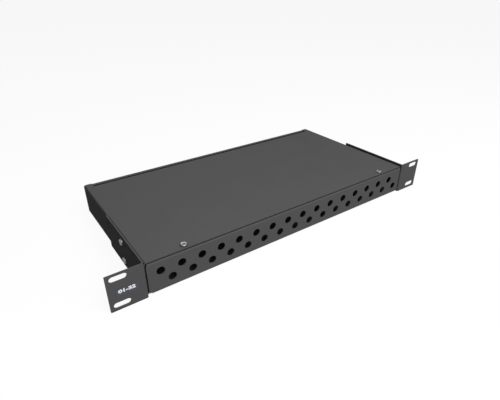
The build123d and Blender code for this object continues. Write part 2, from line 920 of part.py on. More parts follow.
def gland_cap():
    """Domed cap nut: a hexagon, then a dome down to the cable's mouth."""
    shell = gland_collar_radius + gland_fit_gap
    shoulder = gland_hex_flats / 2
    mouth = gland_cap_mouth / 2
    rim = mouth + gland_cap_roof
    roof = gland_cap_height - gland_cap_roof
    with BuildPart() as cap:
        with BuildSketch():
            RegularPolygon(gland_hex_flats / 2, 6, major_radius=False)
        extrude(amount=gland_cap_hex_height)
        with BuildSketch(Plane.XZ):
            with BuildLine():
                Line((0, gland_cap_hex_height), (shoulder, gland_cap_hex_height))
                RadiusArc(
                    (shoulder, gland_cap_hex_height), (rim, gland_cap_height), -gland_cap_dome_radius
                )
                Line((rim, gland_cap_height), (0, gland_cap_height))
                Line((0, gland_cap_height), (0, gland_cap_hex_height))
            make_face()
        revolve(axis=Axis.Z)
        with BuildSketch(Plane.XZ):
            with BuildLine():
                Polyline(
                    (0, 0),
                    (shell, 0),
                    (shell, gland_cap_hex_height),
                    (mouth + gland_cap_wall, roof),
                    (mouth, roof),
                    (mouth, gland_cap_height),
                    (0, gland_cap_height),
                    close=True,
                )
            make_face()
        revolve(axis=Axis.Z, mode=Mode.SUBTRACT)
    return cap.part


with BuildPart() as gland_caps:
    with Locations(*[rearward(x, gland_collar_base + lid_gap, entry_z) for x in gland_xs]):
        add(gland_cap())

gland_caps.part.label = "gland_caps"
export_step(gland_caps.part, "parts/gland_caps.step")


def entry_plug():
    """Push-in plug: rim from z = 0, hollow body behind it with a snap ridge."""
    body = entry_hole_radius - plug_gap
    hole = body - plug_wall
    ridge = sheet + plug_gap
    rim = plug_rim_diameter / 2
    with BuildPart() as plug:
        with BuildSketch(Plane.XZ):
            with BuildLine():
                Polyline(
                    (0, plug_rim_height),
                    (rim - plug_rim_bevel, plug_rim_height),
                    (rim, plug_rim_height - plug_rim_bevel),
                    (rim, 0),
                    (body, 0),
                    (body, -ridge),
                    (body + plug_snap, -ridge - plug_snap),
                    (body - plug_snap, -plug_body_length),
                    (hole, -plug_body_length),
                    (hole, plug_rim_height - plug_wall),
                    (0, plug_rim_height - plug_wall),
                    close=True,
                )
            make_face()
        revolve(axis=Axis.Z)
    return plug.part


with BuildPart() as entry_plugs:
    with Locations(*[rearward(side * plug_span / 2, back, entry_z) for side in (-1, 1)]):
        add(entry_plug())

entry_plugs.part.label = "entry_plugs"
export_step(entry_plugs.part, "parts/entry_plugs.step")

# Cable clamps: a post welded to the floor, and a grooved plate that a screw draws against it
clamp_y = front + clamp_behind_front
clamp_x = gland_span / 2
clamp_screw_z = entry_z + clamp_screw_above_rod
post_top = floor_top + clamp_height
plate_middle = (entry_z + clamp_screw_z) / 2

with BuildPart() as clamp_posts:
    with BuildSketch(Plane.XZ.offset(-clamp_y)):
        with BuildLine():
            fold_lines(
                [(clamp_x, post_top), (clamp_x, floor_top), (clamp_x + clamp_foot, floor_top)],
                [
                    (clamp_x + clamp_sheet, post_top),
                    (clamp_x + clamp_sheet, floor_top + clamp_sheet),
                    (clamp_x + clamp_foot, floor_top + clamp_sheet),
                ],
                bracket_bend_inside,
                clamp_sheet,
            )
        make_face()
    extrude(amount=clamp_width / 2, both=True)
    with BuildSketch(Plane.YZ.offset(clamp_x)):
        with Locations((clamp_y, clamp_screw_z)):
            Circle(nut_bore_radius)
    extrude(amount=clamp_sheet, mode=Mode.SUBTRACT)
    mirror(about=Plane.YZ)

clamp_posts.part.label = "clamp_posts"
export_step(clamp_posts.part, "parts/clamp_posts.step")

with BuildPart() as clamp_plates:
    with BuildSketch(Plane.XZ.offset(-clamp_y)):
        with Locations((clamp_x - clamp_plate_thickness / 2, plate_middle)):
            Rectangle(clamp_plate_thickness, clamp_plate_height)
        with Locations((clamp_x, entry_z)):
            Circle(clamp_groove_radius, mode=Mode.SUBTRACT)
    extrude(amount=clamp_width / 2, both=True)
    with BuildSketch(Plane.YZ.offset(clamp_x)):
        with Locations((clamp_y, clamp_screw_z)):
            Circle(clear_hole_radius)
    extrude(amount=-clamp_plate_thickness, mode=Mode.SUBTRACT)
    mirror(about=Plane.YZ)

clamp_plates.part.label = "clamp_plates"
export_step(clamp_plates.part, "parts/clamp_plates.step")

with BuildPart() as clamp_screws:
    with Locations(
        *[
            Location(
                (side * (clamp_x - clamp_plate_thickness), clamp_y, clamp_screw_z),
                (0, -side * 90, 0),
            )
            for side in (-1, 1)
        ]
    ):
        add(pan_screw(clamp_screw_length))

clamp_screws.part.label = "clamp_screws"
export_step(clamp_screws.part, "parts/clamp_screws.step")


def fibre_guide():
    """Open ring on a foot, with a peg that presses into the floor; the floor's top is z = 0."""
    middle = guide_foot_height + guide_ring_radius - guide_ring_wall / 2
    with BuildPart() as guide:
        with BuildSketch():
            Circle(guide_foot_radius)
        extrude(amount=guide_foot_height)
        with BuildSketch():
            Circle(guide_peg_radius)
        extrude(amount=-sheet)
        with BuildSketch(Plane.XZ):
            with Locations((0, middle)):
                Circle(guide_ring_radius)
                Circle(guide_ring_radius - guide_ring_wall, mode=Mode.SUBTRACT)
            with Locations((0, middle + guide_ring_radius)):
                Rectangle(guide_ring_mouth, 2 * guide_ring_radius, mode=Mode.SUBTRACT)
        extrude(amount=guide_ring_width / 2, both=True)
    return guide.part


with BuildPart() as fibre_guides:
    with Locations(
        *[Location((x, y, floor_top), (0, 0, turn)) for x, y, turn in guide_places]
    ):
        add(fibre_guide())

fibre_guides.part.label = "fibre_guides"
export_step(fibre_guides.part, "parts/fibre_guides.step")

# Earth bolt through the rear wall, its head inside, with a washer on each side and a nut outside
earth_seat = wall_inside - earth_washer_thickness
earth_length = sheet + 2 * earth_washer_thickness + earth_nut_height + earth_free_end

with BuildPart() as earth_bolt:
    with BuildSketch(Plane.XZ.offset(-earth_seat)):
        with Locations((earth_from_middle, entry_z)):
            RegularPolygon(earth_head_flats / 2, 6, major_radius=False)
    extrude(amount=earth_head_height)
    with BuildSketch(Plane.XZ.offset(-earth_seat)):
        with Locations((earth_from_middle, entry_z)):
            Circle(earth_diameter / 2)
    extrude(amount=-earth_length)
    chamfer(earth_bolt.edges().group_by(Axis.Y)[-1], earth_tip)

earth_bolt.part.label = "earth_bolt"
export_step(earth_bolt.part, "parts/earth_bolt.step")

with BuildPart() as earth_washers:
    with Locations(
        rearward(earth_from_middle, earth_seat, entry_z),
        rearward(earth_from_middle, back, entry_z),
    ):
        add(ring(earth_washer_radius, earth_diameter / 2 + hole_gap, earth_washer_thickness))

earth_washers.part.label = "earth_washers"
export_step(earth_washers.part, "parts/earth_washers.step")

with BuildPart() as earth_nut:
    with Locations(rearward(earth_from_middle, back + earth_washer_thickness, entry_z)):
        add(hex_ring(earth_nut_flats, earth_diameter / 2 + thread_gap, earth_nut_height))

earth_nut.part.label = "earth_nut"
export_step(earth_nut.part, "parts/earth_nut.step")
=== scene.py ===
"""Dresses a 19 inch fibre patch panel: powder coat, zinc fasteners, plastics, label and studio."""

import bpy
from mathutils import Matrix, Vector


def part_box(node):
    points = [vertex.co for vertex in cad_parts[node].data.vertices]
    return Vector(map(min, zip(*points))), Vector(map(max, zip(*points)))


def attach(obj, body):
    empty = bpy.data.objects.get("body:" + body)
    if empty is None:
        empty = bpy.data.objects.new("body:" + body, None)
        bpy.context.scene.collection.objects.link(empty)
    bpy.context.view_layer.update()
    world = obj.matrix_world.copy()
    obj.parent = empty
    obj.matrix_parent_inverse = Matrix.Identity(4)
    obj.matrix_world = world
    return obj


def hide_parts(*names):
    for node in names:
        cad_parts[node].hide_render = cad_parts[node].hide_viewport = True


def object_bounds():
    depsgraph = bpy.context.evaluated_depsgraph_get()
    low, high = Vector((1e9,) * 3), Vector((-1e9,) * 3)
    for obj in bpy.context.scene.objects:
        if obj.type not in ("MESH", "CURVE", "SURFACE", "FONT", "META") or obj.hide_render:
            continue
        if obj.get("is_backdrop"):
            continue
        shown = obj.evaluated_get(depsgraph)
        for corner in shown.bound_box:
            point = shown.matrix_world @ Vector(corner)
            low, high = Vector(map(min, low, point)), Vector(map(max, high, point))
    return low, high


bl_info = {
    "name": "Patch Panel Dresser",
    "version": (1, 0, 0),
    "blender": (4, 5, 0),
    "location": "3D View > Sidebar > Patch Panel",
    "description": "Finishes, threads, print and studio for a rack patch panel",
    "category": "Object",
}

import math

import bmesh
import bpy
from bpy.props import FloatProperty, FloatVectorProperty, PointerProperty, StringProperty
from bpy.types import Operator, Panel, PropertyGroup
from mathutils import Matrix, Vector

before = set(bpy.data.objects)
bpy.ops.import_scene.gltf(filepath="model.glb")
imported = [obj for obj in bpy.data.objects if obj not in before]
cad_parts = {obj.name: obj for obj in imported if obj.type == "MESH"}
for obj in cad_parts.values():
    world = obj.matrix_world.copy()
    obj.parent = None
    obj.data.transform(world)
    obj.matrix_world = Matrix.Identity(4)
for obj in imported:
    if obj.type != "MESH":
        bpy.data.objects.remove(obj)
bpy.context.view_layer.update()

MM = 0.001

# Axis from the panel's front to its rear
REAR = (0, 1, 0)

# Points nearer than this are one point
WELD = 0.001 * MM

# Span that most of a noise's values fill
NOISE_LOW = 0.3
NOISE_HIGH = 0.7

# Edges sharper than this stay sharp
SMOOTH_ANGLE = math.radians(35)

# Threads: depth as a share of the pitch, play in a nut, and how far a shank laps into its head
THREAD_DEPTH = 0.6
THREAD_PLAY = 0.02 * MM
SHANK_LAP = 0.2 * MM

# Hexagons: slope of the turned-off corners, and the share of the flats' width taken at an end
CORNER_SLOPE = 1.732
TURNED_CHAMFER = 0.04
MOULDED_CHAMFER = 0.03

# Pan heads: rounding of the edge and rise of the crown as shares of the height
PAN_ROUNDING = 0.58
PAN_CROWN = 0.06

# Cross recesses: depth as a share of the head's height, size as a share of its height and
# radius, and width of an arm
RECESS_DEPTH = 0.62
RECESS_SIZE = 1.02
RECESS_WIDTH = 0.95 * MM

# Tray studs: thickness and bevel of the flange
STUD_FLANGE = 0.6 * MM
STUD_BEVEL = 0.1 * MM

# Gland bodies: radii of the bore, the collar's two walls and the thread
GLAND_BORE = 7.0 * MM
COLLAR_INSIDE = 8.28 * MM
COLLAR_OUTSIDE = 9.5 * MM
GLAND_THREAD = 10.2 * MM

# Gland bodies: heights above the gasket, and how much the hexagon's corners are cut back
GLAND_THREAD_TOP = 4.0 * MM
GLAND_HEXAGON = 4.5 * MM
GLAND_CORNER = 0.6 * MM

# Gland locknuts: radius of the bore, and how much the corners are cut back
LOCKNUT_BORE = 10.25 * MM
LOCKNUT_CORNER = 0.5 * MM

# Gland caps: height of the grip, and how far the dome laps into it
CAP_GRIP = 9.0 * MM
CAP_LAP = 0.8 * MM

# Gland caps: radii of the grip's bore, the dome's rim, its hollow and the mouth
CAP_BORE = 9.6 * MM
CAP_RIM = 8.7 * MM
CAP_HOLLOW = 7.5 * MM
CAP_MOUTH = 6.3 * MM

# Gland caps: bevel and depth of the mouth's lip, and the power that rounds the dome
CAP_BEVEL = 0.3 * MM
CAP_LIP = 2.4 * MM
CAP_ROUNDNESS = 0.8

# Label's print: thickness of the ink, and how far its front stands off the film
INK_THICKNESS = 0.02 * MM
INK_LIFT = 0.015 * MM

# Studio: gap under the panel, and the nearest and farthest that the camera sees
FLOOR_GAP = 0.05 * MM
CLIP_NEAR = 0.01
CLIP_FAR = 60.0


# Reading the frame


def loose_boxes(node):
    """Boxes of a node's separate solids, as (low, high) corners, in order along X, Y and Z."""
    mesh = bmesh.new()
    mesh.from_mesh(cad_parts[node].data)
    bmesh.ops.remove_doubles(mesh, verts=mesh.verts, dist=WELD)
    unseen = set(mesh.verts)
    boxes = []
    while unseen:
        front = [unseen.pop()]
        low = front[0].co.copy()
        high = front[0].co.copy()
        while front:
            vertex = front.pop()
            low = Vector(map(min, low, vertex.co))
            high = Vector(map(max, high, vertex.co))
            for edge in vertex.link_edges:
                other = edge.other_vert(vertex)
                if other in unseen:
                    unseen.remove(other)
                    front.append(other)
        boxes.append((low, high))
    mesh.free()
    return sorted(boxes, key=lambda box: tuple(round(value, ndigits=4) for value in box[0]))


def foot(low, high, axis):
    """Middle of the face of a box that lies lowest along an axis."""
    place = (Vector(low) + Vector(high)) / 2
    place[axis] = low[axis]
    return place


# Shader nodes of a material or of the world


def add_node(owner, kind, **values):
    """Adds a shader node and sets its properties."""
    node = owner.node_tree.nodes.new(kind)
    for key, value in values.items():
        setattr(node, key, value)
    return node


def link(owner, output, socket):
    """Links a node's output to another one's socket."""
    owner.node_tree.links.new(output, socket)


def feed(owner, source, socket):
    """Gives a socket another one's output or a plain value."""
    if isinstance(source, bpy.types.NodeSocket):
        link(owner, source, socket)
    else:
        socket.default_value = source


def maths(owner, operation, *sources, kind="ShaderNodeMath"):
    """Works out a number or a vector from outputs and plain values; returns the output."""
    node = add_node(owner, kind, operation=operation)
    for source, socket in zip(sources, node.inputs):
        feed(owner, source, socket)
    return node.outputs[0]


def ramp(owner, source, low, high, start=NOISE_LOW, end=NOISE_HIGH):
    """Spreads a source's values from start to end between two numbers; returns the output."""
    spread = add_node(owner, "ShaderNodeMapRange")
    spread.inputs["From Min"].default_value = start
    spread.inputs["From Max"].default_value = end
    spread.inputs["To Min"].default_value = low
    spread.inputs["To Max"].default_value = high
    link(owner, source, spread.inputs["Value"])
    return spread.outputs["Result"]


def seen_directly(owner):
    """Output that is 1 for camera, glossy and transmission rays, and 0 for the others."""
    rays = add_node(owner, "ShaderNodeLightPath").outputs
    either = maths(owner, "MAXIMUM", rays["Is Camera Ray"], rays["Is Glossy Ray"])
    return maths(owner, "MAXIMUM", either, rays["Is Transmission Ray"])


# Materials


def new_material(name):
    """Empty node material; returns it with its Principled shader."""
    material = bpy.data.materials.new(name)
    material.use_nodes = True
    return material, material.node_tree.nodes["Principled BSDF"]


def object_noise(material, cell, detail, stretch=(1, 1, 1)):
    """Noise fixed to the object, with features about one cell across; returns its output."""
    place = add_node(material, "ShaderNodeTexCoord")
    scale = add_node(material, "ShaderNodeMapping")
    scale.inputs["Scale"].default_value = [value / cell for value in stretch]
    noise = add_node(material, "ShaderNodeTexNoise")
    noise.inputs["Scale"].default_value = 1.0
    noise.inputs["Detail"].default_value = detail
    link(material, place.outputs["Object"], scale.inputs["Vector"])
    link(material, scale.outputs["Vector"], noise.inputs["Vector"])
    return noise.outputs["Fac"]


def tint(material, source, dark, light):
    """Mixes two colours by a noise; returns the output."""
    mix = add_node(material, "ShaderNodeMix", data_type="RGBA")
    mix.inputs["A"].default_value = (*dark, 1)
    mix.inputs["B"].default_value = (*light, 1)
    link(material, ramp(material, source, low=0.0, high=1.0), mix.inputs["Factor"])
    return mix.outputs["Result"]


def relief(material, noise, distance, strength, under=None):
    """Raises the surface by a noise, on top of the relief under it; returns the output."""
    bump = add_node(material, "ShaderNodeBump")
    bump.inputs["Distance"].default_value = distance
    bump.inputs["Strength"].default_value = strength
    link(material, noise, bump.inputs["Height"])
    if under is not None:
        link(material, under, bump.inputs["Normal"])
    return bump.outputs["Normal"]


def link_finish(material, shader, colour, roughness, normal):
    """Links the shader's colour, roughness and relief."""
    link(material, colour, shader.inputs["Base Color"])
    link(material, roughness, shader.inputs["Roughness"])
    link(material, normal, shader.inputs["Normal"])


def shade(colour, share):
    """The colour times a share."""
    return tuple(value * share for value in colour)


def crevice_shade(material, reach, deepest):
    """Painted shade: level of the tone, 1 on open faces, down to deepest inside gaps narrower than
    reach, where little light gets in.
    """
    occlusion = add_node(material, "ShaderNodeAmbientOcclusion", samples=8)
    occlusion.inputs["Distance"].default_value = reach
    return ramp(material, occlusion.outputs["AO"], low=deepest, high=1.0, start=0.38, end=0.88)


def inside_shade(material, node, skin, share):
    """Painted shade: level of the tone, 1 on a folded sheet's outer faces, and a share on its inner
    faces, inside its node's box.
    """
    corners = [Vector(corner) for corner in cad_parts[node].bound_box]
    low = Vector([min(corner[axis] for corner in corners) + skin for axis in range(3)])
    high = Vector([max(corner[axis] for corner in corners) - skin for axis in range(3)])
    vector = "ShaderNodeVectorMath"
    place = add_node(material, "ShaderNodeTexCoord").outputs["Object"]
    offset = maths(material, "SUBTRACT", place, (low + high) / 2, kind=vector)
    distance = maths(material, "ABSOLUTE", offset, kind=vector)
    excess = maths(material, "SUBTRACT", distance, (high - low) / 2, kind=vector)
    beyond = add_node(material, "ShaderNodeSeparateXYZ")
    link(material, excess, beyond.inputs["Vector"])
    across = maths(material, "MAXIMUM", beyond.outputs["X"], beyond.outputs["Y"])
    outermost = maths(material, "MAXIMUM", across, beyond.outputs["Z"])
    outside = maths(material, "GREATER_THAN", outermost, 0.0)
    return ramp(material, outside, low=share, high=1.0)


def powder_coat(name, colour, grain, roughness, node):
    """Matt coat of a folded sheet: orange peel, specks and clouds, with painted shade in gaps and
    on inner faces.
    """
    material, shader = new_material(name)
    peel_cell = 2.4 * grain
    speck_cell = 0.45 * grain
    cloud_cell = 45 * grain
    cloudiness = 0.02
    unevenness = 0.06
    peel = object_noise(material, peel_cell, detail=1.5)
    specks = object_noise(material, speck_cell, detail=3.0)
    clouds = object_noise(material, cloud_cell, detail=3.0)
    tone = tint(material, clouds, shade(colour, 1 - cloudiness), shade(colour, 1 + cloudiness))
    # painted shade: the tone darkens in narrow gaps and on the sheet's inner faces, where little
    # light reaches
    seam_shade = crevice_shade(material, reach=3.0 * MM, deepest=0.05)
    inside = inside_shade(material, node, skin=0.6 * MM, share=0.42)
    painted_shade = maths(material, "MULTIPLY", seam_shade, inside)
    level = maths(material, "MULTIPLY", ramp(material, specks, low=0.93, high=1.06), painted_shade)
    grey = add_node(material, "ShaderNodeCombineColor")
    for channel in ("Red", "Green", "Blue"):
        link(material, level, grey.inputs[channel])
    toned = add_node(material, "ShaderNodeMix", data_type="RGBA", blend_type="MULTIPLY")
    toned.inputs["Factor"].default_value = 1.0
    link(material, tone, toned.inputs["A"])
    link(material, grey.outputs["Color"], toned.inputs["B"])
    dullness = ramp(material, peel, low=roughness - unevenness, high=roughness + unevenness)
    waves = relief(material, peel, distance=0.05 * MM, strength=0.35)
    grains = relief(material, specks, distance=0.02 * MM, strength=0.5, under=waves)
    link_finish(material, shader, toned.outputs["Result"], dullness, grains)
    shader.inputs["Specular IOR Level"].default_value = 0.004
    return material


def plated_metal(name, colour, roughness, brush=(1, 1, 1)):
    """Zinc plate: bright metal with cloudy passivation and fine scratches along one way."""
    material, shader = new_material(name)
    clouds = object_noise(material, cell=1.6 * MM, detail=3.0)
    scratches = object_noise(material, cell=0.12 * MM, detail=2.0, stretch=brush)
    link_finish(
        material,
        shader,
        tint(material, clouds, shade(colour, 0.86), colour),
        ramp(material, clouds, low=roughness - 0.06, high=roughness + 0.08),
        relief(material, scratches, distance=0.01 * MM, strength=0.3),
    )
    shader.inputs["Metallic"].default_value = 1.0
    return material


def moulded_plastic(name, colour, roughness, grain, gloss=0.4, soft=0.0):
    """Moulded plastic with the mould's fine spark texture and faint flow marks."""
    material, shader = new_material(name)
    sparks = object_noise(material, cell=grain, detail=3.0)
    flow = object_noise(material, cell=40 * grain, detail=2.0, stretch=(1, 0.35, 1))
    link_finish(
        material,
        shader,
        tint(material, flow, shade(colour, 0.93), colour),
        ramp(material, sparks, low=roughness - 0.07, high=roughness + 0.07),
        relief(material, sparks, distance=0.02 * MM, strength=0.4),
    )
    shader.inputs["Specular IOR Level"].default_value = gloss
    shader.inputs["Subsurface Weight"].default_value = soft
    shader.inputs["Subsurface Scale"].default_value = 1.0 * MM
    return material


def rubber(name, colour, grain):
    """Dull rubber with a dusty bloom."""
    material, shader = new_material(name)
    dust = object_noise(material, cell=grain, detail=4.0)
    link_finish(
        material,
        shader,
        tint(material, dust, colour, shade(colour, 1.5)),
        ramp(material, dust, low=0.62, high=0.86),
        relief(material, dust, distance=0.03 * MM, strength=0.4),
    )
    shader.inputs["Specular IOR Level"].default_value = 0.25
    return material


def finish_nodes(material, *nodes):
    """Gives the frame's nodes one material."""
    for node in nodes:
        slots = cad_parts[node].data.materials
        slots.clear()
        slots.append(material)


# Meshes


def merge(mesh, other, place=None):
    """Adds another mesh to this one, moved to its place, and frees it."""
    part = bpy.data.meshes.new("part")
    if place is not None:
        bmesh.ops.transform(other, matrix=place, verts=other.verts)
    other.to_mesh(part)
    other.free()
    mesh.from_mesh(part)
    bpy.data.meshes.remove(part)


def carve(mesh, cutter):
    """Cuts one mesh out of another; returns the result as a new mesh."""
    bodies = []
    for name, source in (("blank", mesh), ("cutter", cutter)):
        bmesh.ops.recalc_face_normals(source, faces=source.faces)
        data = bpy.data.meshes.new(name)
        source.to_mesh(data)
        source.free()
        body = bpy.data.objects.new(name, data)
        bpy.context.scene.collection.objects.link(body)
        bodies.append(body)
    cut = bodies[0].modifiers.new("cut", "BOOLEAN")
    cut.operation = "DIFFERENCE"
    cut.solver = "EXACT"
    cut.object = bodies[1]
    graph = bpy.context.evaluated_depsgraph_get()
    carved = bpy.data.meshes.new_from_object(bodies[0].evaluated_get(graph))
    result = bmesh.new()
    result.from_mesh(carved)
    bpy.data.meshes.remove(carved)
    for body in bodies:
        bpy.data.meshes.remove(body.data)
    return result


def open_edges(mesh):
    """Edges that have a face on one side only."""
    return [edge for edge in mesh.edges if len(edge.link_faces) == 1]


def extent(mesh, axis):
    """Lowest and highest place of a mesh along an axis."""
    places = [vertex.co[axis] for vertex in mesh.verts]
    return min(places), max(places)


def add_piece(name, mesh, material, body, nodes=()):
    """Makes a piece from a mesh that rides on a body and stands for the frame's nodes."""
    bmesh.ops.recalc_face_normals(mesh, faces=mesh.faces)
    data = bpy.data.meshes.new(name)
    mesh.to_mesh(data)
    mesh.free()
    data.materials.append(material)
    data.shade_smooth()
    data.set_sharp_from_angle(angle=SMOOTH_ANGLE)
    piece = bpy.data.objects.new(name, data)
    bpy.context.scene.collection.objects.link(piece)
    if nodes:
        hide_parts(*nodes)
    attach(piece, body)


def along(axis, seat):
    """Matrix that stands a shape made along +Z on a seat, facing along an axis."""
    turn = Vector((0, 0, 1)).rotation_difference(Vector(axis)).to_matrix().to_4x4()
    return Matrix.Translation(seat) @ turn


# Turned and threaded shapes


def turns(segments):
    """Angles of the points of a ring."""
    return [2 * math.pi * step / segments for step in range(segments)]


def add_point(mesh, radius, turn, height):
    """Adds a point at a radius, angle and height about the Z axis."""
    return mesh.verts.new((radius * math.cos(turn), radius * math.sin(turn), height))


def cover(mesh, rings):
    """Adds the faces between each ring of points and the next."""
    for lower, upper in zip(rings, rings[1:]):
        for step in range(len(lower)):
            after = (step + 1) % len(lower)
            corners = [lower[step], lower[after], upper[after], upper[step]]
            mesh.faces.new(list(dict.fromkeys(corners)))


def lathe(profile, segments):
    """Turns a profile of (radius, height) points about the Z axis."""
    mesh = bmesh.new()
    rings = []
    for radius, height in profile:
        if radius == 0:
            rings.append([mesh.verts.new((0, 0, height))] * segments)
        else:
            rings.append([add_point(mesh, radius, turn, height) for turn in turns(segments)])
    cover(mesh, rings)
    return mesh


def threaded_rod(low, high, crest, pitch, segments=24, bore=0.0):
    """Rod along Z with a helical V thread that runs out at both ends; it may have a bore."""
    root = crest - THREAD_DEPTH * pitch
    rows = 2 * math.ceil((high - low) / pitch) + 4
    mesh = bmesh.new()
    grid = []
    for row in range(rows):
        ring = []
        for step, turn in enumerate(turns(segments)):
            height = low + (row / 2 - 1 + step / segments) * pitch
            height = min(max(height, low), high)
            rise = min((height - low) / pitch, (high - height) / pitch, 1.0)
            radius = root + (crest - root) * rise if row % 2 else root
            ring.append(add_point(mesh, radius, turn, height))
        grid.append(ring)
    for row in range(rows - 1):
        lower, upper = grid[row], grid[row + 1]
        for step in range(segments - 1):
            mesh.faces.new((lower[step], lower[step + 1], upper[step + 1], upper[step]))
        # the last step meets the first one of the next turn, two rows on
        if row + 3 < rows:
            mesh.faces.new((lower[-1], grid[row + 2][0], grid[row + 3][0], upper[-1]))
    bmesh.ops.remove_doubles(mesh, verts=mesh.verts, dist=2 * WELD)
    bmesh.ops.dissolve_degenerate(mesh, edges=mesh.edges, dist=WELD)
    if bore:
        merge(mesh, lathe([(bore, high), (bore, low)], segments))
        rims = open_edges(mesh)
        for end in (low, high):
            loop = [e for e in rims if all(abs(v.co.z - end) < 10 * WELD for v in e.verts)]
            bmesh.ops.bridge_loops(mesh, edges=loop)
    else:
        bmesh.ops.holes_fill(mesh, edges=open_edges(mesh), sides=0)
    return mesh


def hexagon(flats, height, bore, chamfer, corner=0.0):
    """Hexagon from z = 0 up, with its corners turned off at both ends; it may have a bore."""
    segments = 72
    rows = 8
    sixth = math.pi / 3
    apothem = flats / 2
    sharp = apothem / math.cos(sixth / 2)
    mesh = bmesh.new()
    rings = []
    for row in range(rows + 1):
        level = height * (0.5 - 0.5 * math.cos(math.pi * row / rows))
        limit = apothem * (1 - chamfer) + min(level, height - level) * CORNER_SLOPE
        ring = []
        for turn in turns(segments):
            radius = min(apothem / math.cos(turn % sixth - sixth / 2), sharp - corner, limit)
            ring.append(add_point(mesh, radius, turn + sixth, level))
        rings.append(ring)
    if bore:
        for level in (height, 0):
            rings.append([add_point(mesh, bore, turn + sixth, level) for turn in turns(segments)])
        rings.append(rings[0])
    cover(mesh, rings)
    if not bore:
        mesh.faces.new(rings[-1])
        mesh.faces.new(rings[0][::-1])
    return mesh


def pan_screw(head_diameter, length, sizes):
    """Pan head screw with a cross recess, head seat at z = 0 and shank down."""
    radius = head_diameter / 2
    height = sizes.head_height
    rounding = PAN_ROUNDING * height
    crown = PAN_CROWN * height
    level = radius - rounding
    neck = 0.8 * sizes.small_thread / 2
    bevel = 0.08 * MM
    bevel_height = 0.1 * MM
    rounding_steps = 6
    crown_steps = 5
    profile = [(neck, 0), (radius - bevel, 0), (radius, bevel_height)]
    profile.append((radius, height - crown - rounding))
    for step in range(1, rounding_steps + 1):
        turn = math.pi / 2 * step / rounding_steps
        drop = crown + rounding * (1 - math.sin(turn))
        profile.append((level + rounding * math.cos(turn), height - drop))
    for step in range(1, crown_steps):
        share = 1 - step / crown_steps
        profile.append((level * share, height - crown * share * share))
    profile.append((0, height))
    head = lathe(profile, segments=40)
    bmesh.ops.holes_fill(head, edges=open_edges(head), sides=0)
    screw = carve(head, cross_recess(RECESS_SIZE * height, RECESS_SIZE * radius, height))
    shank = threaded_rod(-length, SHANK_LAP, sizes.small_thread / 2, sizes.small_pitch)
    merge(screw, shank)
    return screw


def cross_recess(top, span, head_height):
    """Tapered cross with a pointed floor, its wide end a little above the head."""
    overlap = 0.2 * MM
    taper = 0.55
    inner_corner = 0.72 * RECESS_WIDTH
    floor_height = top - RECESS_DEPTH * head_height
    tip_height = floor_height - 0.3 * MM
    shape = bmesh.new()
    outline = []
    for quarter in range(4):
        turn = Matrix.Rotation(quarter * math.pi / 2, 2)
        for corner in (
            (span / 2, -RECESS_WIDTH / 2),
            (span / 2, RECESS_WIDTH / 2),
            (inner_corner, inner_corner),
        ):
            outline.append(turn @ Vector(corner))
    upper = [shape.verts.new((*corner, top + overlap)) for corner in outline]
    floor = [shape.verts.new((*(corner * taper), floor_height)) for corner in outline]
    tip = shape.verts.new((0, 0, tip_height))
    shape.faces.new(upper)
    for step in range(len(outline)):
        after = (step + 1) % len(outline)
        shape.faces.new((upper[step], upper[after], floor[after], floor[step]))
        shape.faces.new((floor[step], floor[after], tip))
    return shape


def tray_stud(radius, height, sizes):
    """Press-in stud: a flange from z = 0 with a threaded rod up from its middle."""
    stud = lathe(
        [
            (0, 0),
            (radius - STUD_BEVEL, 0),
            (radius, STUD_BEVEL),
            (radius, STUD_FLANGE),
            (0, STUD_FLANGE),
        ],
        segments=32,
    )
    merge(stud, threaded_rod(STUD_FLANGE / 2, height, sizes.small_thread / 2, sizes.small_pitch))
    return stud


def gland_body(flats, inner_end, outer_end, pitch):
    """Gland body: a hexagon from z = 0, a collar up through it and a threaded tube down from it."""
    segments = 48
    body = hexagon(flats, GLAND_HEXAGON, COLLAR_INSIDE, MOULDED_CHAMFER, GLAND_CORNER)
    collar = [
        (COLLAR_INSIDE, 0),
        (COLLAR_OUTSIDE, 0),
        (COLLAR_OUTSIDE, outer_end),
        (COLLAR_INSIDE, outer_end),
        (COLLAR_INSIDE, 0),
    ]
    merge(body, lathe(collar, segments))
    merge(
        body,
        threaded_rod(inner_end, GLAND_THREAD_TOP, GLAND_THREAD, pitch, segments, GLAND_BORE),
    )
    return body


def gland_cap(flats, height):
    """Gland cap: a grip hexagon from z = 0 under a smooth dome with a lipped mouth."""
    cap = hexagon(flats, CAP_GRIP, CAP_BORE, MOULDED_CHAMFER, GLAND_CORNER)
    shoulder = flats / 2 - 0.1 * MM
    hem = CAP_GRIP - CAP_LAP
    dome_steps = 8
    profile = [(CAP_BORE, hem), (shoulder, hem)]
    for step in range(dome_steps + 1):
        turn = math.pi / 2 * step / dome_steps
        radius = CAP_RIM + (shoulder - CAP_RIM) * math.cos(turn) ** CAP_ROUNDNESS
        profile.append((radius, CAP_GRIP + (height - CAP_GRIP) * math.sin(turn)))
    profile += [
        (CAP_MOUTH + CAP_BEVEL, height),
        (CAP_MOUTH, height - CAP_BEVEL),
        (CAP_MOUTH, height - CAP_LIP),
        (CAP_HOLLOW, height - CAP_LIP),
        (CAP_BORE, hem),
    ]
    merge(cap, lathe(profile, segments=72))
    return cap


# Settings


class PaintSettings(PropertyGroup):
    colour: FloatVectorProperty(
        name="Powder coat",
        description="Colour of the case, lid and brackets",
        subtype="COLOR",
        min=0,
        max=1,
        default=(0.09, 0.09, 0.091),
    )
    grain: FloatProperty(
        name="Grain",
        description="Size of the coat's orange peel",
        unit="LENGTH",
        default=0.7 * MM,
    )
    roughness: FloatProperty(
        name="Roughness",
        description="Mean roughness of the coat",
        min=0,
        max=1,
        default=0.62,
    )


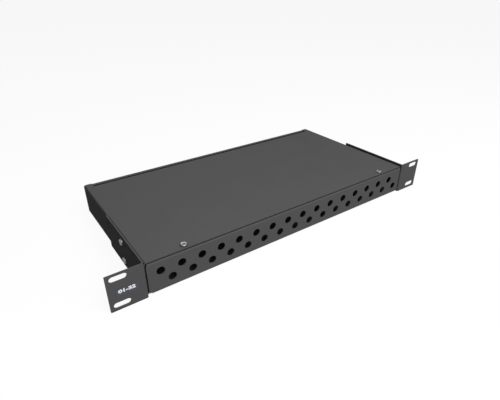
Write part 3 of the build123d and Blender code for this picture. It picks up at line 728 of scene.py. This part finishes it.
class FastenerSettings(PropertyGroup):
    zinc: FloatVectorProperty(
        name="Zinc",
        description="Colour of the plated screws, nuts and clamps",
        subtype="COLOR",
        min=0,
        max=1,
        default=(0.2, 0.202, 0.208),
    )
    small_pitch: FloatProperty(
        name="M4 pitch", description="Pitch of the M4 threads", unit="LENGTH", default=0.7 * MM
    )
    large_pitch: FloatProperty(
        name="M5 pitch", description="Pitch of the M5 thread", unit="LENGTH", default=0.8 * MM
    )
    small_thread: FloatProperty(
        name="M4 thread", description="Diameter of the M4 threads", unit="LENGTH", default=4.0 * MM
    )
    large_thread: FloatProperty(
        name="M5 thread", description="Diameter of the M5 thread", unit="LENGTH", default=5.0 * MM
    )
    head_height: FloatProperty(
        name="Screw head height",
        description="Height of the pan heads above their seat",
        unit="LENGTH",
        default=2.4 * MM,
    )


class PlasticSettings(PropertyGroup):
    tray: FloatVectorProperty(
        name="Trays",
        description="Colour of the splice trays",
        subtype="COLOR",
        min=0,
        max=1,
        default=(0.66, 0.66, 0.63),
    )
    cover: FloatVectorProperty(
        name="Cover",
        description="Colour of the splice cover",
        subtype="COLOR",
        min=0,
        max=1,
        default=(0.6, 0.61, 0.6),
    )
    guide: FloatVectorProperty(
        name="Guides",
        description="Colour of the fibre guides",
        subtype="COLOR",
        min=0,
        max=1,
        default=(0.7, 0.69, 0.65),
    )
    gland: FloatVectorProperty(
        name="Glands",
        description="Colour of the cable glands and plugs",
        subtype="COLOR",
        min=0,
        max=1,
        default=(0.02, 0.02, 0.022),
    )
    comb: FloatVectorProperty(
        name="Combs",
        description="Colour of the splice combs' rubber",
        subtype="COLOR",
        min=0,
        max=1,
        default=(0.04, 0.04, 0.044),
    )
    gland_pitch: FloatProperty(
        name="Gland pitch",
        description="Pitch of the glands' threads",
        unit="LENGTH",
        default=1.5 * MM,
    )


class LabelSettings(PropertyGroup):
    numbers: StringProperty(
        name="Numbers", description="Port numbers printed on the ear's label", default="01-32"
    )
    film: FloatVectorProperty(
        name="Film",
        description="Colour of the label's film",
        subtype="COLOR",
        min=0,
        max=1,
        default=(0.05, 0.058, 0.083),
    )
    ink: FloatVectorProperty(
        name="Ink",
        description="Colour of the printed numbers",
        subtype="COLOR",
        min=0,
        max=1,
        default=(0.92, 0.92, 0.92),
    )
    width: FloatProperty(
        name="Numbers' width",
        description="Width of the printed line",
        unit="LENGTH",
        default=17.6 * MM,
    )
    height: FloatProperty(
        name="Numbers' height",
        description="Height of the numerals",
        unit="LENGTH",
        default=4.3 * MM,
    )
    rise: FloatProperty(
        name="Numbers' rise",
        description="Height of the numerals' centre above the label's centre",
        unit="LENGTH",
        default=1.1 * MM,
    )
    weight: FloatProperty(
        name="Numbers' weight",
        description="How far the numerals' strokes are thickened, as a share of the type's size",
        default=0.055,
    )


class StudioSettings(PropertyGroup):
    key_power: FloatProperty(
        name="Key lamp",
        description="Power of the soft box in front",
        unit="POWER",
        min=0,
        default=29.0,
    )
    key_size: FloatProperty(
        name="Key lamp's size",
        description="Side of the soft box",
        unit="LENGTH",
        min=0,
        default=1.25,
    )
    key_place: FloatVectorProperty(
        name="Key lamp's place",
        description="Centre of the soft box, which faces the origin",
        subtype="TRANSLATION",
        unit="LENGTH",
        default=(0.05, -0.9, 1.02),
    )
    rear_strength: FloatProperty(
        name="Rear lamp", description="Strength of the soft lamp behind", min=0, default=2.1
    )
    rear_spread: FloatProperty(
        name="Rear lamp's spread",
        description="Angle that the lamp behind seems to fill",
        unit="ROTATION",
        default=math.radians(40),
    )
    rear_place: FloatVectorProperty(
        name="Rear lamp's place",
        description="Place of the lamp behind, which faces the origin",
        subtype="TRANSLATION",
        unit="LENGTH",
        default=(0.7, 2.0, 0.22),
    )
    ambient: FloatProperty(
        name="Ambient", description="Strength of the light from all sides", min=0, default=0.04
    )
    floor: FloatProperty(
        name="Floor",
        description="Brightness of the floor as the camera sees it",
        min=0,
        max=1,
        default=1.0,
    )
    floor_bounce: FloatProperty(
        name="Floor's bounce",
        description="Share of the light that the floor throws back on the panel",
        min=0,
        max=1,
        default=0.12,
    )
    floor_reach: FloatProperty(
        name="Floor's reach",
        description="Half the side of the square floor",
        unit="LENGTH",
        default=12.0,
    )
    shadow_fill: FloatProperty(
        name="Shadow fill",
        description="How far the floor's shadow is lifted",
        min=0,
        max=1,
        default=0.92,
    )
    camera_place: FloatVectorProperty(
        name="Camera's place",
        description="Place of the camera, fitted to the photograph",
        subtype="TRANSLATION",
        unit="LENGTH",
        precision=4,
        default=(-0.2984, -0.3154, 0.2648),
    )
    camera_forward: FloatVectorProperty(
        name="Camera's view",
        description="Direction in which the camera looks",
        subtype="DIRECTION",
        precision=4,
        default=(0.5066, 0.7129, -0.4849),
    )
    camera_right: FloatVectorProperty(
        name="Camera's right",
        description="Direction that is to the right in the picture",
        subtype="DIRECTION",
        precision=4,
        default=(0.8154, -0.5789, 0.0007),
    )
    lens: FloatProperty(
        name="Lens", description="Focal length of the camera", unit="CAMERA", default=28.884
    )
    sensor: FloatProperty(
        name="Sensor", description="Width of the camera's sensor", unit="CAMERA", default=36.0
    )


# Pieces


class PATCHPANEL_OT_sheet_metal(Operator):
    """Coats the chassis, the lid and the two brackets"""

    bl_idname = "patchpanel.sheet_metal"
    bl_label = "Coat the sheet metal"

    def execute(self, context):
        paint = context.scene.patch_panel_paint
        for name, inner, nodes in (
            ("case_powder_coat", "chassis", ("chassis", "left_bracket", "right_bracket")),
            ("lid_powder_coat", "lid", ("lid",)),
        ):
            coat = powder_coat(name, paint.colour, paint.grain, paint.roughness, inner)
            finish_nodes(coat, *nodes)
        return {"FINISHED"}


class PATCHPANEL_OT_screws(Operator):
    """Puts threaded screws with cross recesses in the lid, the brackets and the cable clamps"""

    bl_idname = "patchpanel.screws"
    bl_label = "Fit the screws"

    def execute(self, context):
        sizes = context.scene.patch_panel_fasteners
        zinc = plated_metal("screw_zinc", sizes.zinc, roughness=0.42)
        # the lid's heads face up, the brackets' outwards and the clamps' inwards
        for name, node, lengthwise, body, facing in (
            ("lid_screw_set", "lid_screws", 2, "lid", 1),
            ("bracket_screw_set", "bracket_screws", 0, "case", 1),
            ("clamp_screw_set", "clamp_screws", 0, "case", -1),
        ):
            screws = bmesh.new()
            for low, high in loose_boxes(node):
                size = high - low
                seat = (low + high) / 2
                outward = 1 if lengthwise == 2 or seat.x > 0 else -1
                axis = Vector((0, 0, 0))
                axis[lengthwise] = facing * outward
                seat += axis * (size[lengthwise] / 2 - sizes.head_height)
                head_diameter = size[(lengthwise + 1) % 3]
                screw = pan_screw(head_diameter, size[lengthwise] - sizes.head_height, sizes)
                merge(screws, screw, along(axis, seat))
            add_piece(name, screws, zinc, body, [node])
        return {"FINISHED"}


class PATCHPANEL_OT_nuts_and_studs(Operator):
    """Makes the tray studs, their nuts and the earth bolt, and plates the small turned parts"""

    bl_idname = "patchpanel.nuts_and_studs"
    bl_label = "Fit the nuts and studs"

    def execute(self, context):
        sizes = context.scene.patch_panel_fasteners
        small_bore = sizes.small_thread / 2 + THREAD_PLAY
        large_bore = sizes.large_thread / 2 + THREAD_PLAY
        zinc = plated_metal("nut_zinc", sizes.zinc, roughness=0.3)
        finish_nodes(
            zinc, "lid_nuts", "bracket_bushes", "tray_spacers", "tray_washers", "earth_washers"
        )
        studs = bmesh.new()
        for low, high in loose_boxes("tray_studs"):
            stud = tray_stud((high.x - low.x) / 2, high.z - low.z, sizes)
            merge(studs, stud, Matrix.Translation(foot(low, high, 2)))
        add_piece("threaded_tray_studs", studs, zinc, "case", ["tray_studs"])
        nuts = bmesh.new()
        for low, high in loose_boxes("tray_nuts"):
            nut = hexagon(high.y - low.y, high.z - low.z, small_bore, TURNED_CHAMFER)
            merge(nuts, nut, Matrix.Translation(foot(low, high, 2)))
        add_piece("chamfered_tray_nuts", nuts, zinc, "case", ["tray_nuts"])
        low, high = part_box("earth_nut")
        flats = high[2] - low[2]
        nut = hexagon(flats, high[1] - low[1], large_bore, TURNED_CHAMFER)
        bmesh.ops.transform(nut, matrix=along(REAR, foot(low, high, 1)), verts=nut.verts)
        add_piece("chamfered_earth_nut", nut, zinc, "case", ["earth_nut"])
        low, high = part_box("earth_bolt")
        head_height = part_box("earth_washers")[0][1] - low[1]
        bolt = hexagon(flats, head_height, 0, TURNED_CHAMFER)
        shank = threaded_rod(
            head_height - SHANK_LAP, high[1] - low[1], sizes.large_thread / 2, sizes.large_pitch
        )
        merge(bolt, shank)
        bmesh.ops.transform(bolt, matrix=along(REAR, foot(low, high, 1)), verts=bolt.verts)
        add_piece("threaded_earth_bolt", bolt, zinc, "case", ["earth_bolt"])
        return {"FINISHED"}


class PATCHPANEL_OT_cable_clamps(Operator):
    """Plates the clamp posts and their grooved plates"""

    bl_idname = "patchpanel.cable_clamps"
    bl_label = "Plate the cable clamps"

    def execute(self, context):
        sizes = context.scene.patch_panel_fasteners
        zinc = plated_metal("clamp_zinc", sizes.zinc, roughness=0.34, brush=(1, 1, 0.1))
        finish_nodes(zinc, "clamp_posts", "clamp_plates")
        return {"FINISHED"}


class PATCHPANEL_OT_splice_trays(Operator):
    """Gives the trays, their cover and the combs their plastics"""

    bl_idname = "patchpanel.splice_trays"
    bl_label = "Finish the splice trays"

    def execute(self, context):
        plastics = context.scene.patch_panel_plastics
        tray = moulded_plastic(
            "tray_plastic", plastics.tray, roughness=0.48, grain=0.5 * MM, soft=0.05
        )
        finish_nodes(tray, "lower_splice_tray", "upper_splice_tray")
        cover = moulded_plastic(
            "cover_plastic", plastics.cover, roughness=0.22, grain=0.9 * MM, gloss=0.5
        )
        finish_nodes(cover, "splice_cover")
        comb = rubber("comb_rubber", plastics.comb, grain=0.4 * MM)
        finish_nodes(comb, "lower_splice_comb", "upper_splice_comb")
        return {"FINISHED"}


class PATCHPANEL_OT_fibre_guides(Operator):
    """Gives the fibre guides their natural nylon"""

    bl_idname = "patchpanel.fibre_guides"
    bl_label = "Finish the fibre guides"

    def execute(self, context):
        plastics = context.scene.patch_panel_plastics
        nylon = moulded_plastic(
            "guide_nylon", plastics.guide, roughness=0.42, grain=0.4 * MM, soft=0.1
        )
        finish_nodes(nylon, "fibre_guides")
        return {"FINISHED"}


class PATCHPANEL_OT_cable_glands(Operator):
    """Makes the cable glands' bodies, locknuts and caps, and finishes seals, gaskets and plugs"""

    bl_idname = "patchpanel.cable_glands"
    bl_label = "Fit the cable glands"

    def execute(self, context):
        plastics = context.scene.patch_panel_plastics
        nylon = moulded_plastic("gland_nylon", plastics.gland, roughness=0.38, grain=0.35 * MM)
        seal = rubber("seal_rubber", shade(plastics.gland, 0.8), grain=0.3 * MM)
        finish_nodes(seal, "gland_seals", "gland_gaskets")
        finish_nodes(nylon, "entry_plugs")
        gasket_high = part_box("gland_gaskets")[1][1]
        cap_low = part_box("gland_caps")[0][1]
        bodies = bmesh.new()
        for low, high in loose_boxes("gland_bodies"):
            seat = foot(low, high, 1)
            seat.y = gasket_high
            body = gland_body(
                high.z - low.z, low.y - gasket_high, high.y - gasket_high, plastics.gland_pitch
            )
            merge(bodies, body, along(REAR, seat))
        add_piece("moulded_gland_bodies", bodies, nylon, "case", ["gland_bodies"])
        locknuts = bmesh.new()
        for low, high in loose_boxes("gland_locknuts"):
            nut = hexagon(
                high.z - low.z, high.y - low.y, LOCKNUT_BORE, MOULDED_CHAMFER, LOCKNUT_CORNER
            )
            merge(locknuts, nut, along(REAR, foot(low, high, 1)))
        add_piece(
            "moulded_gland_locknuts", locknuts, nylon, "case", ["gland_locknuts"]
        )
        caps = bmesh.new()
        for low, high in loose_boxes("gland_caps"):
            seat = foot(low, high, 1)
            seat.y = cap_low
            merge(caps, gland_cap(high.z - low.z, high.y - cap_low), along(REAR, seat))
        add_piece("moulded_gland_caps", caps, nylon, "case", ["gland_caps"])
        return {"FINISHED"}


class PATCHPANEL_OT_ear_label(Operator):
    """Finishes the label's film and prints the port numbers on it"""

    bl_idname = "patchpanel.ear_label"
    bl_label = "Print the ear label"

    def execute(self, context):
        label = context.scene.patch_panel_label
        film = moulded_plastic("label_film", label.film, roughness=0.4, grain=0.25 * MM)
        finish_nodes(film, "ear_label")
        numerals = self.set_type(context, label)
        left, right = extent(numerals, 0)
        bottom, top = extent(numerals, 1)
        bmesh.ops.translate(
            numerals, verts=numerals.verts, vec=(-(left + right) / 2, -(bottom + top) / 2, 0)
        )
        bmesh.ops.scale(
            numerals,
            verts=numerals.verts,
            vec=(label.width / (right - left), label.height / (top - bottom), 1),
        )
        bmesh.ops.solidify(numerals, geom=numerals.faces, thickness=INK_THICKNESS)
        seat = foot(*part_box("ear_label"), 1) + Vector((0, -INK_LIFT, label.rise))
        upright = Matrix.Rotation(math.pi / 2, 4, "X")
        place = Matrix.Translation(seat) @ upright
        bmesh.ops.transform(numerals, matrix=place, verts=numerals.verts)
        ink = moulded_plastic("label_ink", label.ink, roughness=0.5, grain=0.3 * MM)
        add_piece("label_numerals", numerals, ink, "case")
        return {"FINISHED"}

    def set_type(self, context, label):
        """Flat mesh of the numbers, at the type's own size."""
        curve = bpy.data.curves.new("numerals", "FONT")
        curve.body = label.numbers
        curve.align_x = "CENTER"
        curve.align_y = "CENTER"
        curve.offset = label.weight
        text = bpy.data.objects.new("numerals", curve)
        context.scene.collection.objects.link(text)
        graph = context.evaluated_depsgraph_get()
        data = bpy.data.meshes.new_from_object(text.evaluated_get(graph))
        bpy.data.objects.remove(text)
        bpy.data.curves.remove(curve)
        numerals = bmesh.new()
        numerals.from_mesh(data)
        bpy.data.meshes.remove(data)
        return numerals


# Studio


class PATCHPANEL_OT_studio(Operator):
    """Sets the floor, the soft lamps, the white surroundings and the camera"""

    bl_idname = "patchpanel.studio"
    bl_label = "Set the studio"

    def execute(self, context):
        studio = context.scene.patch_panel_studio
        scene = context.scene
        self.add_floor(scene, studio)
        key = bpy.data.lights.new("key_lamp", "AREA")
        key.size = studio.key_size
        key.energy = studio.key_power
        self.hang_lamp(scene, key, studio.key_place)
        rear = bpy.data.lights.new("rear_lamp", "SUN")
        rear.angle = studio.rear_spread
        rear.energy = studio.rear_strength
        self.hang_lamp(scene, rear, studio.rear_place)
        self.light_world(scene, studio.ambient)
        self.add_camera(scene, studio)
        scene.view_settings.view_transform = "Standard"
        return {"FINISHED"}

    def add_floor(self, scene, studio):
        """Large pale floor, paler to the eye than to the light that it throws back."""
        reach = studio.floor_reach
        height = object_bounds()[0].z - FLOOR_GAP
        plane = bmesh.new()
        corners = [(-reach, -reach), (reach, -reach), (reach, reach), (-reach, reach)]
        plane.faces.new([plane.verts.new((x, y, height)) for x, y in corners])
        data = bpy.data.meshes.new("studio_floor")
        plane.to_mesh(data)
        plane.free()
        material = bpy.data.materials.new("studio_floor")
        material.use_nodes = True
        material.node_tree.nodes.clear()
        matt = self.grey(material, "ShaderNodeBsdfDiffuse", studio.floor)
        glow = self.grey(material, "ShaderNodeEmission", studio.floor)
        bounce = self.grey(material, "ShaderNodeBsdfDiffuse", studio.floor_bounce)
        seen = self.mix(material, studio.shadow_fill, matt, glow)
        output = add_node(material, "ShaderNodeOutputMaterial")
        surface = self.mix(material, seen_directly(material), bounce, seen)
        link(material, surface, output.inputs["Surface"])
        data.materials.append(material)
        floor = bpy.data.objects.new("studio_floor", data)
        scene.collection.objects.link(floor)
        floor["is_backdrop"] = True

    def grey(self, material, kind, level):
        """Shader of one grey level; returns its output."""
        shader = add_node(material, kind)
        shader.inputs["Color"].default_value = (level, level, level, 1)
        return shader.outputs[0]

    def mix(self, material, share, first, second):
        """Mixes two shaders by the second one's share; returns the output."""
        mixed = add_node(material, "ShaderNodeMixShader")
        for source, socket in zip((share, first, second), mixed.inputs):
            feed(material, source, socket)
        return mixed.outputs["Shader"]

    def hang_lamp(self, scene, lamp, place):
        """Puts a lamp at its place, aimed at the origin."""
        holder = bpy.data.objects.new(lamp.name, lamp)
        holder.location = place
        holder.rotation_mode = "QUATERNION"
        holder.rotation_quaternion = (-Vector(place)).to_track_quat("-Z", "Y")
        scene.collection.objects.link(holder)

    def light_world(self, scene, ambient):
        """White surroundings to the eye, dimmer as a source of light."""
        world = bpy.data.worlds.new("studio_world")
        world.use_nodes = True
        background = world.node_tree.nodes["Background"]
        background.inputs["Color"].default_value = (1, 1, 1, 1)
        strength = ramp(world, seen_directly(world), low=ambient, high=1.0, start=0.0, end=1.0)
        link(world, strength, background.inputs["Strength"])
        scene.world = world

    def add_camera(self, scene, studio):
        """Camera at the left front corner, above the panel."""
        camera = bpy.data.cameras.new("camera")
        camera.lens = studio.lens
        camera.sensor_width = studio.sensor
        camera.clip_start = CLIP_NEAR
        camera.clip_end = CLIP_FAR
        holder = bpy.data.objects.new("camera", camera)
        forward = studio.camera_forward.normalized()
        right = studio.camera_right.normalized()
        up = right.cross(forward).normalized()
        turn = Matrix((right, up, -forward)).transposed().to_4x4()
        holder.matrix_world = Matrix.Translation(studio.camera_place) @ turn
        scene.collection.objects.link(holder)
        scene.camera = holder


# Panel and registration


class PATCHPANEL_PT_dresser(Panel):
    bl_label = "Patch Panel"
    bl_space_type = "VIEW_3D"
    bl_region_type = "UI"
    bl_category = "Patch Panel"

    def draw(self, context):
        layout = self.layout
        for group in SETTINGS:
            settings = getattr(context.scene, group)
            box = layout.box()
            for name in settings.bl_rna.properties.keys():
                if name not in ("rna_type", "name"):
                    box.prop(settings, name)
        for operator in OPERATORS:
            layout.operator(operator.bl_idname)


OPERATORS = (
    PATCHPANEL_OT_sheet_metal,
    PATCHPANEL_OT_screws,
    PATCHPANEL_OT_nuts_and_studs,
    PATCHPANEL_OT_cable_clamps,
    PATCHPANEL_OT_splice_trays,
    PATCHPANEL_OT_fibre_guides,
    PATCHPANEL_OT_cable_glands,
    PATCHPANEL_OT_ear_label,
    PATCHPANEL_OT_studio,
)
SETTINGS = {
    "patch_panel_paint": PaintSettings,
    "patch_panel_fasteners": FastenerSettings,
    "patch_panel_plastics": PlasticSettings,
    "patch_panel_label": LabelSettings,
    "patch_panel_studio": StudioSettings,
}


def register():
    for settings in SETTINGS.values():
        bpy.utils.register_class(settings)
    for operator in OPERATORS:
        bpy.utils.register_class(operator)
    bpy.utils.register_class(PATCHPANEL_PT_dresser)
    for name, settings in SETTINGS.items():
        setattr(bpy.types.Scene, name, PointerProperty(type=settings))


def unregister():
    for name in SETTINGS:
        delattr(bpy.types.Scene, name)
    bpy.utils.unregister_class(PATCHPANEL_PT_dresser)
    for operator in reversed(OPERATORS):
        bpy.utils.unregister_class(operator)
    for settings in reversed(SETTINGS.values()):
        bpy.utils.unregister_class(settings)


def main():
    """Dresses the panel and sets the studio."""
    register()
    bpy.ops.patchpanel.sheet_metal()
    bpy.ops.patchpanel.screws()
    bpy.ops.patchpanel.nuts_and_studs()
    bpy.ops.patchpanel.cable_clamps()
    bpy.ops.patchpanel.splice_trays()
    bpy.ops.patchpanel.fibre_guides()
    bpy.ops.patchpanel.cable_glands()
    bpy.ops.patchpanel.ear_label()
    bpy.ops.patchpanel.studio()


if __name__ == "__main__":
    main()
